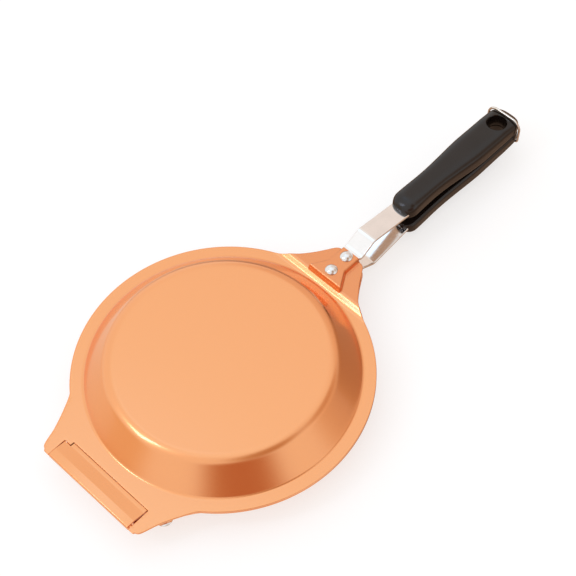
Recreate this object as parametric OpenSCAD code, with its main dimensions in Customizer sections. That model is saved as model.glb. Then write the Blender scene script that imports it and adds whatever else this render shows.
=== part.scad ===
// Double sided flip pan: two hinged shallow pans with strap handles and a wire lock.
// Origin: centre of the lower pan's flat base. +X runs from the hinge to the handles.

/* [Pans] */
// outer radius of the flat rim
rim_r = 105; // [90:0.5:130]
// thickness of the pressed sheet
sheet_t = 1.5; // [1.2:0.1:2.5]
// depth of one half, from the meeting plane to the flat face
dish_h = 22.5; // [18:0.5:32]
// width of the flat rim
rim_w = 7.95; // [5:0.05:12]
// rounding between the flat face and the wall
shoulder_r = 5.5; // [4:0.5:8]
// rounding between the wall and the rim
foot_r = 3; // [2:0.5:4]
// slope of the wall, degrees from the rim
wall_deg = 50; // [45:1:70]
// gap between the two rims when shut
rim_gap = 0.1; // [0.05:0.05:0.4]

/* [Hinge] */
// distance from the rim to the outer edge of the hinge tab
tab_out = 19; // [16:0.5:30]
// half width of the hinge tab
tab_half = 46; // [38:0.5:55]
// half length of the rolled knuckle
knuckle_half = 38.6; // [28:0.1:46]
// radius of the hinge bar
bar_r = 1.5; // [1.2:0.1:2.2]
// radial running clearance round the bar
bar_clear = 0.06; // [0.03:0.01:0.1]
// outer radius of the rolled eye
eye_r = 2.8; // [2.5:0.1:3.4]
// height of the knuckle's crest above the meeting plane
crest_h = 3; // [2.8:0.1:4.5]
// width of the flat strip between the knuckle's flank and the upper tab
strip_w = 3; // [2:0.1:5]
// width of the gap between the strip and the upper tab
slot_gap = 0.4; // [0.3:0.05:1.5]
// radius of the hinge rivet heads
leaf_head_r = 6; // [4:0.1:6.5]
// height of the hinge rivet heads
leaf_head_h = 4.4; // [3:0.1:5]

/* [Handle lug] */
// distance from the rim to the end of the lug
lug_out = 23.5; // [20:0.5:50]
// height that the lug is set up from the rim
lug_lift = 3.5; // [2:0.1:6]
// height of the pressed platform above the lug
platform_h = 4.5; // [3:0.1:7]
// half width of the platform where it is narrow
platform_half = 8.4; // [7.5:0.1:12]
// half width of the platform at its wide end
platform_wide = 17; // [13:0.1:22]
// length of the platform's tapering end
plat_taper = 14; // [8:0.5:18]
// radius of the strap rivet heads
rivet_head_r = 4.7; // [3.8:0.1:5.5]
// height of a rivet head
rivet_head_h = 2.8; // [2:0.1:3.4]
// radius of the rivet shanks
rivet_r = 2.4; // [2:0.1:3]

/* [Straps] */
// width of the steel strap
strap_w = 16; // [12:0.5:16]
// thickness of the steel strap
strap_t = 2; // [1.5:0.1:2.4]
// height of the crease above the strap's root
crease_rise = 6.5; // [4:0.1:9]
// length of the strap's rise, from its bend to its crease
crease_run = 13.4; // [10:0.1:20]
// length of the bare strap from its crease to the grip
strap_free = 33.4; // [20:0.1:50]
// length of the tang inside the grip
tang_len = 46; // [20:1:80]

/* [Grips] */
// length of a grip
grip_len = 128; // [100:1:150]
// half width of the front of the grip
grip_front = 10.3; // [9.6:0.1:13]
// half width of the back of the grip
grip_back = 12.8; // [11:0.1:15]
// height of the grip's back at the front, above the meeting plane
grip_h_front = 17.3; // [15:0.1:20]
// height of the grip's back at the end, above the meeting plane
grip_h_back = 12.9; // [12:0.1:16]
// radius of the hanging hole
hang_r = 7; // [5:0.1:7.5]
// distance from the hanging hole's centre to the end of the grip
hang_in = 17.6; // [15:0.1:30]

/* [Lock] */
// radius of the wire
wire_r = 0.9; // [0.8:0.05:1.2]
// radial running clearance round the wire's ends
wire_clear = 0.06; // [0.03:0.01:0.1]

/* [Hidden] */

$fn = 96;
copper = [0.93, 0.60, 0.40];
steel = [0.80, 0.80, 0.80];
black = [0.12, 0.11, 0.11];

// heights
mid_z = dish_h;
half_gap = rim_gap / 2;

// dish profile
wall_s = sin(wall_deg);
wall_c = cos(wall_deg);
wall_rise = dish_h - half_gap - sheet_t - (shoulder_r + foot_r) * (1 - wall_c);
foot_x = rim_r - rim_w;
face_r = foot_x - (shoulder_r + foot_r) * wall_s - wall_rise / tan(wall_deg);
arc_n = 6;

// hinge
tab_reach = rim_r + tab_out;
bar_h = sheet_t - bar_r;
bar_x = -(tab_reach - 2.7);
knuckle_out = bar_x - eye_r;
slot_in = -(rim_r + 0.8);
slot_half = knuckle_half + 0.7;
riser_x = slot_in - slot_gap;
flank_in = riser_x - strip_w;
strip_h = sheet_t - 0.05;
tab_corner = 4.5;
flare_x = -0.79 * rim_r;
flare_y = sqrt(rim_r * rim_r - flare_x * flare_x);
ear_dive = 3;
tooth_y = slot_half - 5.6;
tooth_gap = 0.8;
tooth_x = flank_in + 0.3;
crest_x = knuckle_out + 6.3;
lower_tab_x = riser_x + 0.3;
lower_ear_x = bar_x + 4;
leaf_t = 1.5;
leaf_top = -half_gap - sheet_t;
leaf_low = leaf_top - leaf_t;
leaf_rivet_x = slot_in + 4.4;
leaf_rivet_y = tab_half + 2.6;
leaf_wing_y = tab_half + 6.8;
leaf_wing = 14;
leaf_shank_r = 2.2;

// lug
lug_reach = rim_r + lug_out;
neck_x = 0.9057 * rim_r;
neck_y = sqrt(rim_r * rim_r - neck_x * neck_x);
ramp_in = foot_x - 0.2;
ramp_out = ramp_in + 3.6;
lug_end_y = platform_half + 4;
waist_run = 20;
waist_drop = 24;
waist_x = neck_x + waist_run;
waist_y = neck_y - waist_drop;
lug_under = half_gap + lug_lift;
lug_top = lug_under + sheet_t;
plat_top = lug_top + platform_h;
plat_under = plat_top - sheet_t;
plat_in = ramp_out - 0.4;
plat_neck = plat_in + plat_taper;
neck_lap = 4;
plat_wall = 1.3;
plat_soft = 1.7;
tongue_half = platform_half - plat_wall - 0.2;
rivet_x1 = plat_in + 8;
rivet_x2 = lug_reach - 4.96;
washer_h = 1.2;
washer_r = rivet_r + 1.1;

// strap, as a line along its outer face
root_in = plat_in + 3.2;
bend_x = lug_reach + 2.8;
shoulder_x = lug_reach + 0.8;
crease_x = bend_x + crease_run;
grip_x = crease_x + strap_free;
crease_h = plat_under + crease_rise;
strap_line = [[root_in, plat_under], [bend_x, plat_under], [bend_x + 1.5, plat_under + 0.35],
    [crease_x - 1.7, crease_h - 0.5], [crease_x - 0.2, crease_h], [crease_x + 1.6, crease_h - 0.1],
    [grip_x + 3, crease_h - 5.2], [grip_x + 8, crease_h - 5.8], [grip_x + tang_len, crease_h - 7.5]];
// the part of it inside the grip's slot, which is a little longer
tang_line = concat([for (i = [5 : len(strap_line) - 2]) strap_line[i]],
    [strap_line[len(strap_line) - 1] + [0.2, 0]]);

// grips, with the ends of each taper as a share of the length
grip_end = grip_x + grip_len;
swell_in = grip_x + 0.0625 * grip_len;
swell_out = grip_x + 0.40625 * grip_len;
waist_in = grip_x + 0.3125 * grip_len;
waist_out = grip_x + 0.640625 * grip_len;
fall_out = grip_x + 0.78125 * grip_len;
inner_in = grip_x + 0.15625 * grip_len;
inner_out = grip_x + 0.703125 * grip_len;
inner_front = 4.4;
inner_back = 0.5;
grip_n = 34;
ring_n = 28;
front_round = 8;
end_round = 10;
end_corner = 12;
end_fall = 1.5;
end_fall_run = 24;
hang_x = grip_end - hang_in;
hang_flare = 4;

// lock
pivot_x = grip_end - 10;
pivot_h = -6.2;
bail_x = grip_end - 8.3;
bail_h = grip_h_back - 0.2;
bail_half = grip_back + 0.9 + wire_r;
bail_corner = 7.5;
pin_in = 4;

function arc_pt(cx, cy, r, a) = [cx + r * sin(a), cy + r * cos(a)];
function flip(v) = [for (i = [len(v) - 1 : -1 : 0]) v[i]];
function side(v) = concat(v, [for (p = flip(v)) [p[0], -p[1]]]);
function mix(a, b, t) = a + (b - a) * t;
function step(a, b, x) = min(1, max(0, (x - a) / (b - a)));
function ease(t) = t * t * (3 - 2 * t);
function dir(a, b) = (b - a) / norm(b - a);
function left_of(d) = [-d[1], d[0]];
// a point of a line's parallel, at distance d on its right
function beside(v, i, d) = let (a = i > 0 ? dir(v[i - 1], v[i]) : dir(v[i], v[i + 1]))
    let (b = i < len(v) - 1 ? dir(v[i], v[i + 1]) : a)
    let (n = left_of(a) + left_of(b))
    v[i] - n * (d / (n * left_of(a)));
function ribbon(v, up, down) = concat([for (i = [0 : len(v) - 1]) beside(v, i, -up)],
    flip([for (i = [0 : len(v) - 1]) beside(v, i, down)]));

// half of the closed pan is drawn above the meeting plane; the lower half is its mirror image
module above() {
    translate([0, 0, mid_z]) children();
}

module below() {
    translate([0, 0, mid_z]) mirror([0, 0, 1]) children();
}

module dish() {
    out_top = dish_h;
    rotate_extrude($fn = 180) polygon(concat(
        [[0, out_top], [0, out_top - sheet_t]],
        [for (i = [0 : arc_n])
            arc_pt(face_r, out_top - shoulder_r, shoulder_r - sheet_t, wall_deg * i / arc_n)],
        [for (i = [arc_n : -1 : 0])
            arc_pt(foot_x, half_gap + sheet_t + foot_r, -foot_r - sheet_t, wall_deg * i / arc_n)],
        [[rim_r, half_gap], [rim_r, half_gap + sheet_t]],
        [for (i = [0 : arc_n]) arc_pt(foot_x, half_gap + sheet_t + foot_r, -foot_r, wall_deg * i / arc_n)],
        [for (i = [arc_n : -1 : 0]) arc_pt(face_r, out_top - shoulder_r, shoulder_r, wall_deg * i / arc_n)]));
}

// plan of the lug, from the rim to its end
lug_plan = side(concat([[neck_x - 4, neck_y + 1.2], [neck_x, neck_y]],
    [for (p = [[0.095, 0.1833], [0.255, 0.425], [0.49, 0.6583], [0.745, 0.8417], [1, 1]])
        [neck_x + waist_run * p[0], neck_y - waist_drop * p[1]]],
    [[mix(waist_x, lug_reach, 0.45), mix(waist_y, lug_end_y, 0.48)],
        [lug_reach - 2.4, lug_end_y + 1], [lug_reach - 0.8, lug_end_y - 0.6], [lug_reach, lug_end_y - 2.6]]));

// the flat tab behind the rim: ears and flare, cut back to x at its outer edge
module tab_plan(reach, corner) {
    difference() {
        polygon(side([[-reach, tab_half - corner - 1], [-reach + 0.3, tab_half - corner + 0.6],
            [-reach + 1.2, tab_half - 1.6], [-reach + corner, tab_half + 0.6],
            [mix(-reach + corner, flare_x, 0.35), mix(tab_half + 0.6, flare_y, 0.27)],
            [mix(-reach + corner, flare_x, 0.7), mix(tab_half + 0.6, flare_y, 0.62)],
            [flare_x, flare_y], [flare_x + 6, flare_y + 1]]));
        circle(r = rim_r - 3);
    }
}

module lug_sheet() {
    intersection() {
        translate([0, 0, -1]) linear_extrude(height = plat_top + 2) polygon(lug_plan);
        translate([0, neck_y + 5, 0]) rotate([90, 0, 0]) linear_extrude(height = 2 * neck_y + 10)
            polygon([[neck_x - 4, half_gap], [ramp_in, half_gap], [ramp_out, lug_under],
                [lug_reach + 1, lug_under], [lug_reach + 1, lug_top], [ramp_out - 0.6, lug_top],
                [ramp_in - 0.6, half_gap + sheet_t], [neck_x - 4, half_gap + sheet_t]]);
    }
}

// a block over a plan, with its upper edge rounded by soft
module soft_block(plan, low, high, grow, soft) {
    hull() for (lift = [[low, 0], [high - soft, 0], [high - 0.35 * soft, 0.3 * soft], [high - 0.01, soft]])
        translate([0, 0, lift[0]]) linear_extrude(height = 0.01) offset(delta = grow - lift[1]) polygon(plan);
}

// the pressed platform; grow = 0 gives its outside, grow = -plat_wall the hollow below it
module platform(low, high, grow, soft) {
    soft_block(side([[plat_in, platform_wide], [plat_neck, platform_half]]), low, high, grow, soft);
    soft_block(side([[plat_neck - neck_lap, platform_half], [lug_reach + 6, platform_half]]),
        low, high, grow, soft);
}

module lug() {
    difference() {
        intersection() {
            union() {
                lug_sheet();
                platform(lug_under + 0.2, plat_top, 0, plat_soft);
            }
            translate([0, 0, -1]) linear_extrude(height = plat_top + 2) polygon(lug_plan);
        }
        platform(lug_under - 1, plat_under, -plat_wall, 0.1);
        translate([0, 0, -1]) cylinder(h = plat_top + 2, r = foot_x - 0.1, $fn = 180);
        rivet_holes();
    }
}

module rivet_holes() {
    for (x = [rivet_x1, rivet_x2])
        translate([x, 0, plat_under - strap_t - 1]) cylinder(h = sheet_t + strap_t + 2, r = rivet_r);
}

module pan_half() {
    difference() {
        dish();
        translate([0, 0, half_gap - 1]) linear_extrude(height = sheet_t + 2)
            intersection() {
                polygon(lug_plan);
                translate([ramp_in + 1.2, -rim_r]) square([rim_r, 2 * rim_r]);
            }
    }
    lug();
}

module upper_pan() {
    color(copper) above() {
        pan_half();
        difference() {
            translate([0, 0, half_gap]) linear_extrude(height = sheet_t) tab_plan(tab_reach, tab_corner);
            translate([-tab_reach - 5, -slot_half, -2])
                cube([tooth_x + tab_reach + 5, 2 * slot_half, sheet_t + 4]);
            translate([tooth_x - 1, -slot_half, -2])
                cube([slot_in - tooth_x + 1, slot_half + tooth_y, sheet_t + 4]);
        }
        translate([bar_x, slot_half + ear_dive, bar_h]) rotate([90, 0, 0])
            cylinder(h = 2 * (slot_half + ear_dive), r = bar_r, $fn = 48);
    }
}

module lower_pan() {
    color(copper) below() {
        pan_half();
        difference() {
            translate([0, 0, half_gap]) linear_extrude(height = sheet_t) tab_plan(-lower_ear_x, 2);
            translate([lower_ear_x - 1, -slot_half, -1])
                cube([lower_tab_x - lower_ear_x + 1, 2 * slot_half, sheet_t + 3]);
            for (s = [-1, 1])
                translate([leaf_rivet_x, s * leaf_rivet_y, -1])
                    cylinder(h = sheet_t + 3, r = leaf_shank_r + 0.05, $fn = 48);
        }
    }
}

// section of the knuckle: riser, flat strip, flank, crest, outer band and the return under the bar
knuckle_line = [[riser_x, leaf_low], [riser_x, strip_h - 0.9], [riser_x - 0.25, strip_h - 0.3],
    [riser_x - 0.8, strip_h], [flank_in, strip_h], [flank_in - 1.3, mix(strip_h, crest_h, 0.13)],
    [crest_x + 1.6, mix(strip_h, crest_h, 0.88)], [crest_x, crest_h], [bar_x - 0.9, crest_h - 0.1],
    [knuckle_out + 1, crest_h - 0.3], [knuckle_out + 0.4, crest_h - 0.75], [knuckle_out + 0.1, crest_h - 1.5],
    [knuckle_out + 0.05, bar_h], [bar_x, bar_h - eye_r + 0.1], [bar_x + 1.6, leaf_low]];
// the hollow between the strip's and flank's sheet and the return
hollow_line = [[riser_x - leaf_t, leaf_top], [riser_x - leaf_t, strip_h - leaf_t],
    [flank_in, strip_h - leaf_t], [crest_x + 0.6, crest_h - leaf_t - 0.05],
    [bar_x + 1, crest_h - leaf_t], [bar_x + 1, leaf_top]];

module knuckle() {
    difference() {
        translate([0, knuckle_half, 0]) rotate([90, 0, 0]) linear_extrude(height = 2 * knuckle_half)
            polygon(knuckle_line);
        translate([0, knuckle_half + 1, 0]) rotate([90, 0, 0]) linear_extrude(height = 2 * knuckle_half + 2)
            polygon(hollow_line);
        translate([flank_in - 0.2, tooth_y - tooth_gap, leaf_top])
            cube([strip_w + 1, knuckle_half, crest_h - leaf_top + 1]);
    }
    translate([bar_x, knuckle_half, bar_h]) rotate([90, 0, 0]) cylinder(h = 2 * knuckle_half, r = eye_r);
}

module hinge_leaf() {
    color(copper) above() difference() {
        union() {
            translate([0, 0, leaf_low]) linear_extrude(height = leaf_t) difference() {
                polygon(side([[riser_x - 1, knuckle_half], [slot_in - 0.2, knuckle_half],
                    [slot_in - 0.2, leaf_wing_y - 7], [slot_in + 1.3, leaf_wing_y - 2],
                    [leaf_rivet_x - 1, leaf_wing_y], [leaf_rivet_x + 4, leaf_wing_y - 0.5],
                    [leaf_rivet_x + leaf_wing, leaf_wing_y - leaf_wing]]));
                circle(r = foot_x + 1.2);
            }
            knuckle();
        }
        translate([bar_x, knuckle_half + 1, bar_h]) rotate([90, 0, 0])
            cylinder(h = 2 * knuckle_half + 2, r = bar_r + bar_clear, $fn = 48);
        for (s = [-1, 1])
            translate([leaf_rivet_x, s * leaf_rivet_y, leaf_low - 1])
                cylinder(h = leaf_t + 2, r = leaf_shank_r + 0.05, $fn = 48);
    }
}

module dome(r, h) {
    ball_r = (r * r + h * h) / (2 * h);
    intersection() {
        translate([0, 0, h - ball_r]) sphere(r = ball_r, $fn = 64);
        cylinder(h = h + 1, r = r + 1, $fn = 64);
    }
}

module hinge_rivets() {
    color(steel) above() for (s = [-1, 1])
        translate([leaf_rivet_x, s * leaf_rivet_y, 0]) {
            translate([0, 0, leaf_low]) mirror([0, 0, 1]) dome(leaf_head_r, leaf_head_h);
            translate([0, 0, leaf_low - 0.5])
                cylinder(h = leaf_t + sheet_t + 0.5, r = leaf_shank_r, $fn = 48);
        }
}

module strap() {
    difference() {
        translate([0, strap_w / 2, 0]) rotate([90, 0, 0]) linear_extrude(height = strap_w)
            polygon(ribbon(strap_line, 0, strap_t));
        for (s = [-1, 1]) translate([root_in - 1, s * (tongue_half + strap_w) - strap_w, 0])
            cube([shoulder_x - root_in + 1, 2 * strap_w, plat_top]);
        rivet_holes();
    }
}

module upper_strap() {
    color(steel) above() strap();
}

module lower_strap() {
    color(steel) below() strap();
}

module strap_rivets() {
    for (x = [rivet_x1, rivet_x2]) translate([x, 0, 0]) {
        translate([0, 0, plat_top]) dome(rivet_head_r, rivet_head_h);
        translate([0, 0, plat_under - strap_t - 0.5])
            cylinder(h = sheet_t + strap_t + 1, r = rivet_r - 0.05, $fn = 48);
        translate([0, 0, plat_under - strap_t - washer_h]) cylinder(h = washer_h, r = washer_r, $fn = 48);
    }
}

module upper_rivets() {
    color(steel) above() strap_rivets();
}

module lower_rivets() {
    color(steel) below() strap_rivets();
}

// grip outline: half width, top and inner heights at x
function grip_side(x) = mix(grip_front, grip_back, ease(step(waist_in, waist_out, x)))
    + 0.25 * cos(360 * step(swell_in, swell_out, x)) - 0.25;
function round_in(d, r) = r - sqrt(max(0, r * r - pow(r - min(r, max(0, d)), 2)));
function grip_w(x) = grip_side(x) - round_in(x - grip_x, front_round) * 0.9
    - round_in(grip_end - x, end_corner);
function grip_top(x) = mix(grip_h_front, grip_h_back, pow(step(swell_in, fall_out, x), 0.85))
    - round_in(x - grip_x, front_round) * 0.75 - round_in(grip_end - x, end_round) * 0.92
    - end_fall * ease(step(grip_end - end_fall_run, grip_end - end_fall_run / 3, x));
function grip_in(x) = mix(inner_front, inner_back, ease(step(inner_in, inner_out, x)))
    + round_in(x - grip_x, 3) * 0.6 + round_in(grip_end - x, 3) * 0.2;
function grip_x_at(i) = grip_x + grip_len * (1 - cos(180 * i / grip_n)) / 2;
// a rounded rectangle with one flat side, as a ring of ring_n points
function ring_pt(k, w, low, high) = let (a = 360 * (k + 0.5) / ring_n, c = cos(a), s = sin(a))
    let (n = s > 0 ? 3.2 : 9)
    let (q = pow(pow(abs(c), n) + pow(abs(s), n), -1 / n))
    [w * c * q, (low + high) / 2 + (high - low) / 2 * s * q];
function grip_ring(x) = [for (k = [0 : ring_n - 1])
    let (p = ring_pt(k, grip_w(x), grip_in(x), grip_top(x))) [x, p[0], p[1]]];

module grip_body() {
    pts = [for (i = [0 : grip_n]) for (p = grip_ring(grip_x_at(i))) p];
    sides = [for (i = [0 : grip_n - 1]) for (k = [0 : ring_n - 1])
        let (a = i * ring_n + k, b = i * ring_n + (k + 1) % ring_n)
        for (f = [[a, b, b + ring_n], [a, b + ring_n, a + ring_n]]) f];
    caps = [flip([for (k = [0 : ring_n - 1]) k]), [for (k = [0 : ring_n - 1]) grip_n * ring_n + k]];
    polyhedron(points = pts, faces = concat(sides, caps), convexity = 4);
}

module grip() {
    difference() {
        grip_body();
        translate([0, strap_w / 2 + 0.1, 0]) rotate([90, 0, 0]) linear_extrude(height = strap_w + 0.2)
            polygon(ribbon(tang_line, 0.1, strap_t + 0.1));
        translate([hang_x, 0, -1]) cylinder(h = grip_h_front + 5, r = hang_r);
        translate([hang_x, 0, grip_h_back - 1.6])
            cylinder(h = hang_flare, r1 = hang_r, r2 = hang_r + hang_flare);
    }
}

module upper_grip() {
    color(black) above() grip();
}

module lower_grip() {
    color(black) difference() {
        below() grip();
        above() translate([pivot_x, grip_back + 3, pivot_h]) rotate([90, 0, 0])
            bail_bores();
    }
}

module bail_bores() {
    cylinder(h = 3 + pin_in + 0.3, r = wire_r + wire_clear, $fn = 48);
    translate([0, 0, 2 * grip_back + 3 - pin_in - 0.3])
        cylinder(h = pin_in + 3.3, r = wire_r + wire_clear, $fn = 48);
}

bail_rise = norm([bail_x - pivot_x, bail_h - pivot_h]);
bail_tilt = atan2(bail_x - pivot_x, bail_h - pivot_h);

// one quarter bend of wire from +Y round to -Z
module wire_bend(r) {
    rotate([90, 0, 90]) rotate_extrude(angle = 90, $fn = 48) translate([r, 0]) circle(r = wire_r, $fn = 32);
}

// the bail in its own plane: pivot at the origin, crossbar up at bail_rise
module lock_bail() {
    color(steel) above() translate([pivot_x, 0, pivot_h]) rotate([0, bail_tilt, 0]) {
        translate([0, -(bail_half - bail_corner), bail_rise]) rotate([-90, 0, 0])
            cylinder(h = 2 * (bail_half - bail_corner), r = wire_r, $fn = 32);
        for (s = [0, 1]) mirror([0, s, 0]) {
            translate([0, bail_half - bail_corner, bail_rise - bail_corner]) wire_bend(bail_corner);
            translate([0, bail_half, 2]) cylinder(h = bail_rise - bail_corner - 2, r = wire_r, $fn = 32);
            translate([0, bail_half - 2, 2]) mirror([0, 0, 1]) wire_bend(2);
            translate([0, grip_back - pin_in, 0]) rotate([-90, 0, 0])
                cylinder(h = bail_half - 2 - grip_back + pin_in, r = wire_r, $fn = 32);
        }
    }
}

upper_pan();
lower_pan();
hinge_leaf();
hinge_rivets();
upper_strap();
lower_strap();
upper_rivets();
lower_rivets();
upper_grip();
lower_grip();
lock_bail();
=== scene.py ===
import math

import bmesh
import bpy
import numpy as np
from mathutils import Matrix, Vector
from mathutils.geometry import delaunay_2d_cdt


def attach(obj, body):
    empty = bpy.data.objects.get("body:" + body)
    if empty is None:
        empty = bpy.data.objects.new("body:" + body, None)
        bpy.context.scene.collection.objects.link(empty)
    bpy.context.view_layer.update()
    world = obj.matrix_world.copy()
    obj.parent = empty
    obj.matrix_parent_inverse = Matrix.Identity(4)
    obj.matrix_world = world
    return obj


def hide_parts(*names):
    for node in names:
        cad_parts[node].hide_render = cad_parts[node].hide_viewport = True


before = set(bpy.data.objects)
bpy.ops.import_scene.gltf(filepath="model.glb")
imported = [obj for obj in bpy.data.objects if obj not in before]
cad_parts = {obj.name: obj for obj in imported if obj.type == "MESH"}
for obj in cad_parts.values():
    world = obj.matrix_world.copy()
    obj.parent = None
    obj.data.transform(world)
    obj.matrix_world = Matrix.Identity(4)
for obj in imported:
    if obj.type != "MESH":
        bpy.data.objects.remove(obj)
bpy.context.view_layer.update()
MM = 0.001

# ---------------------------------------------------------------- sizes, in mm
# Heights are above the meeting plane of the two pans, as in the CAD source.
# The visible sheets are rounded a little softer than the CAD's.
MID_Z = 22.5
HALF_GAP = 0.05
SHEET = 1.5
RIM_R = 105.0
WALL = math.radians(50)
CAD_FACE_R, CAD_SHOULDER_R = 75.507, 5.5
SHOULDER_R = 10.5
FACE_R = CAD_FACE_R - (SHOULDER_R - CAD_SHOULDER_R) * math.tan(WALL / 2)
FOOT_R = 3.0
FLANGE = HALF_GAP + SHEET
FOOT_X = FACE_R + (SHOULDER_R + FOOT_R) * math.sin(WALL) + (
    MID_Z - FLANGE - (SHOULDER_R + FOOT_R) * (1 - math.cos(WALL))) / math.tan(WALL)
EDGE = 0.32                      # rounding of the sheets' cut edges
EDGE_TURNS = (25, 50, 72, 90)    # degrees of the steps round an edge

LUG_REACH = 128.5
LUG_END_Y = 12.4
LUG_INNER_R = 85                 # the lug's rise starts outside this radius
LIFT = 3.5
RAMP_IN = FOOT_X - 0.9
RAMP_RUN = 4.6
RAMP_SOFT_IN, RAMP_SOFT_OUT = 1.5, 1.2
NECK_X, NECK_Y = 95.1, 44.51
PLAT_H = 4.5
PLAT_IN = 100.04
PLAT_NECK = 114.04
PLAT_HALF = 8.4
PLAT_WIDE = 17.0
PLAT_SLOPE = math.radians(80)
PLAT_ROUND, PLAT_FOOT = 1.3, 0.6
PLAT_OUT = 0.3                   # how far the wall's foot stands outside the plan line
PLAT_TOP = FLANGE + LIFT + PLAT_H
PLAT_UNDER = PLAT_TOP - SHEET
RIVETS_X = (108.04, 123.54)
STRAP_HEAD_R, STRAP_HEAD_H = 4.7, 2.8

TAB_REACH = 124.0
TAB_HALF = 46.0
FLARE_X, FLARE_Y = -82.95, 64.38
SLOT_HALF = 39.3
SLOT_IN = -106.03
TOOTH_X, TOOTH_Y = -108.9, 33.7
TOOTH_GAP = 0.8
LOWER_TAB_X = -105.9
LOWER_EAR_X = -117.3

BAR_X, BAR_H, BAR_R = -121.3, 0.0, 1.5
BORE_R, EYE_R = 1.56, 2.8
KNUCKLE_HALF = 38.6
RISER_X, FLANK_IN = -106.2, -109.2
STRIP_H = 1.45
CREST_X, CREST_H = -117.8, 3.03
LEAF_TOP = -HALF_GAP - SHEET
LEAF_LOW = LEAF_TOP - SHEET
LEAF_RIVET = (-101.4, 48.6)
LEAF_HEAD_R, LEAF_HEAD_H = 6.0, 4.4
LEAF_WING_Y = 52.8

STRAP_HALF = 8.0
STRAP_T = 2.0
STRAP_EDGE = 0.5                 # rounding of the straps' edges
STRAP_SEAT = 0.02                # hair of room between tongue and platform
TONGUE_HALF = 6.9
SHOULDER_X = 129.3
ROOT_X = 103.24

GRIP_X, GRIP_END = 178.1, 306.1
GRIP_FRONT, GRIP_BACK = 10.3, 12.8          # half widths
GRIP_H_FRONT, GRIP_H_BACK = 17.3, 12.9      # heights of the top
HANG_X, HANG_R = 288.5, 7.0
HANG_LIP = GRIP_H_BACK - 1.6
PIVOT = (296.1, -6.2)
BAIL_TOP = (297.8, 12.7)
BAIL_HALF = 14.6
BAIL_CORNER = 7.5
BAIL_PIN = 3.9                   # how far its pins reach into the lower grip
WIRE_R = 0.9


# ---------------------------------------------------------------- small maths
def mix(a, b, t):
    return a + (b - a) * t


def step(a, b, x):
    return np.clip((x - a) / (b - a), 0, 1)


def ease(t):
    return t * t * (3 - 2 * t)


def soft_pos(t, s):
    """The positive part of t, with its corner rounded over s to each side."""
    return np.where(t < -s, 0, np.where(t > s, t, (t + s) ** 2 / (4 * s)))


def inside(points, loop):
    """Which plan points lie inside a closed loop."""
    x, y = points[:, 0], points[:, 1]
    result = np.zeros(len(points), bool)
    for (x1, y1), (x2, y2) in zip(loop, np.roll(loop, -1, 0)):
        if y1 != y2:
            result ^= ((y1 > y) != (y2 > y)) & (x < (x2 - x1) * (y - y1) / (y2 - y1) + x1)
    return result


def line_distance(points, line):
    """Distance from plan points to a line's segments."""
    best = np.full(len(points), 1e9)
    for a, b in zip(line[:-1], line[1:]):
        d = b - a
        t = np.clip(((points - a) @ d) / (d @ d), 0, 1)
        best = np.minimum(best, np.linalg.norm(points - a - t[:, None] * d, axis=1))
    return best


def edge_distance(points, loop):
    """Distance from plan points to a closed loop's segments."""
    return line_distance(points, np.vstack([loop, loop[:1]]))


def spline(points, gap):
    """Points every gap along a centripetal curve through the given ones, without the two end guides."""
    p = np.array(points, float)
    out = []
    for i in range(1, len(p) - 2):
        p0, p1, p2, p3 = p[i - 1:i + 3]
        t = [0]
        for a, b in ((p0, p1), (p1, p2), (p2, p3)):
            t.append(t[-1] + max(np.linalg.norm(b - a), 1e-6) ** 0.5)
        n = max(1, int(round(np.linalg.norm(p2 - p1) / gap)))
        for k in range(n):
            u = mix(t[1], t[2], k / n)
            a1 = (t[1] - u) / (t[1] - t[0]) * p0 + (u - t[0]) / (t[1] - t[0]) * p1
            a2 = (t[2] - u) / (t[2] - t[1]) * p1 + (u - t[1]) / (t[2] - t[1]) * p2
            a3 = (t[3] - u) / (t[3] - t[2]) * p2 + (u - t[2]) / (t[3] - t[2]) * p3
            b1 = (t[2] - u) / (t[2] - t[0]) * a1 + (u - t[0]) / (t[2] - t[0]) * a2
            b2 = (t[3] - u) / (t[3] - t[1]) * a2 + (u - t[1]) / (t[3] - t[1]) * a3
            out.append((t[2] - u) / (t[2] - t[1]) * b1 + (u - t[1]) / (t[2] - t[1]) * b2)
    out.append(p[-2])
    return out


def straight(points, gap):
    """Points every gap along a line with corners."""
    out = []
    for a, b in zip(points[:-1], points[1:]):
        a, b = np.array(a, float), np.array(b, float)
        n = max(1, int(math.ceil(np.linalg.norm(b - a) / gap)))
        out += [mix(a, b, k / n) for k in range(n)]
    return out + [np.array(points[-1], float)]


def filleted(points, radii, turn):
    """An open line with its corners rounded; turn is the degrees to a step."""
    p = [np.array(q, float) for q in points]
    out = [p[0]]
    for i in range(1, len(p) - 1):
        a = (p[i - 1] - p[i]) / np.linalg.norm(p[i - 1] - p[i])
        b = (p[i + 1] - p[i]) / np.linalg.norm(p[i + 1] - p[i])
        half = math.acos(np.clip(a @ b, -1, 1)) / 2
        r = radii[i - 1]
        if r <= 0 or half > math.radians(89.7):
            out.append(p[i])
            continue
        centre = p[i] + (a + b) / np.linalg.norm(a + b) * r / math.sin(half)
        start = p[i] + a * r / math.tan(half) - centre
        end = p[i] + b * r / math.tan(half) - centre
        sweep = math.pi - 2 * half
        n = max(2, int(math.ceil(math.degrees(sweep) / turn)))
        sign = 1 if start[0] * end[1] - start[1] * end[0] > 0 else -1
        for k in range(n + 1):
            t = sign * sweep * k / n
            c, s = math.cos(t), math.sin(t)
            out.append(centre + np.array([start[0] * c - start[1] * s, start[0] * s + start[1] * c]))
    out.append(p[-1])
    return out


def clean_loop(points):
    """A closed loop with no doubled points."""
    least = 0.05
    out = []
    for q in points:
        if not out or np.linalg.norm(q - out[-1]) > least:
            out.append(np.array(q, float))
    if np.linalg.norm(out[0] - out[-1]) <= least:
        out.pop()
    return np.array(out)


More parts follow.
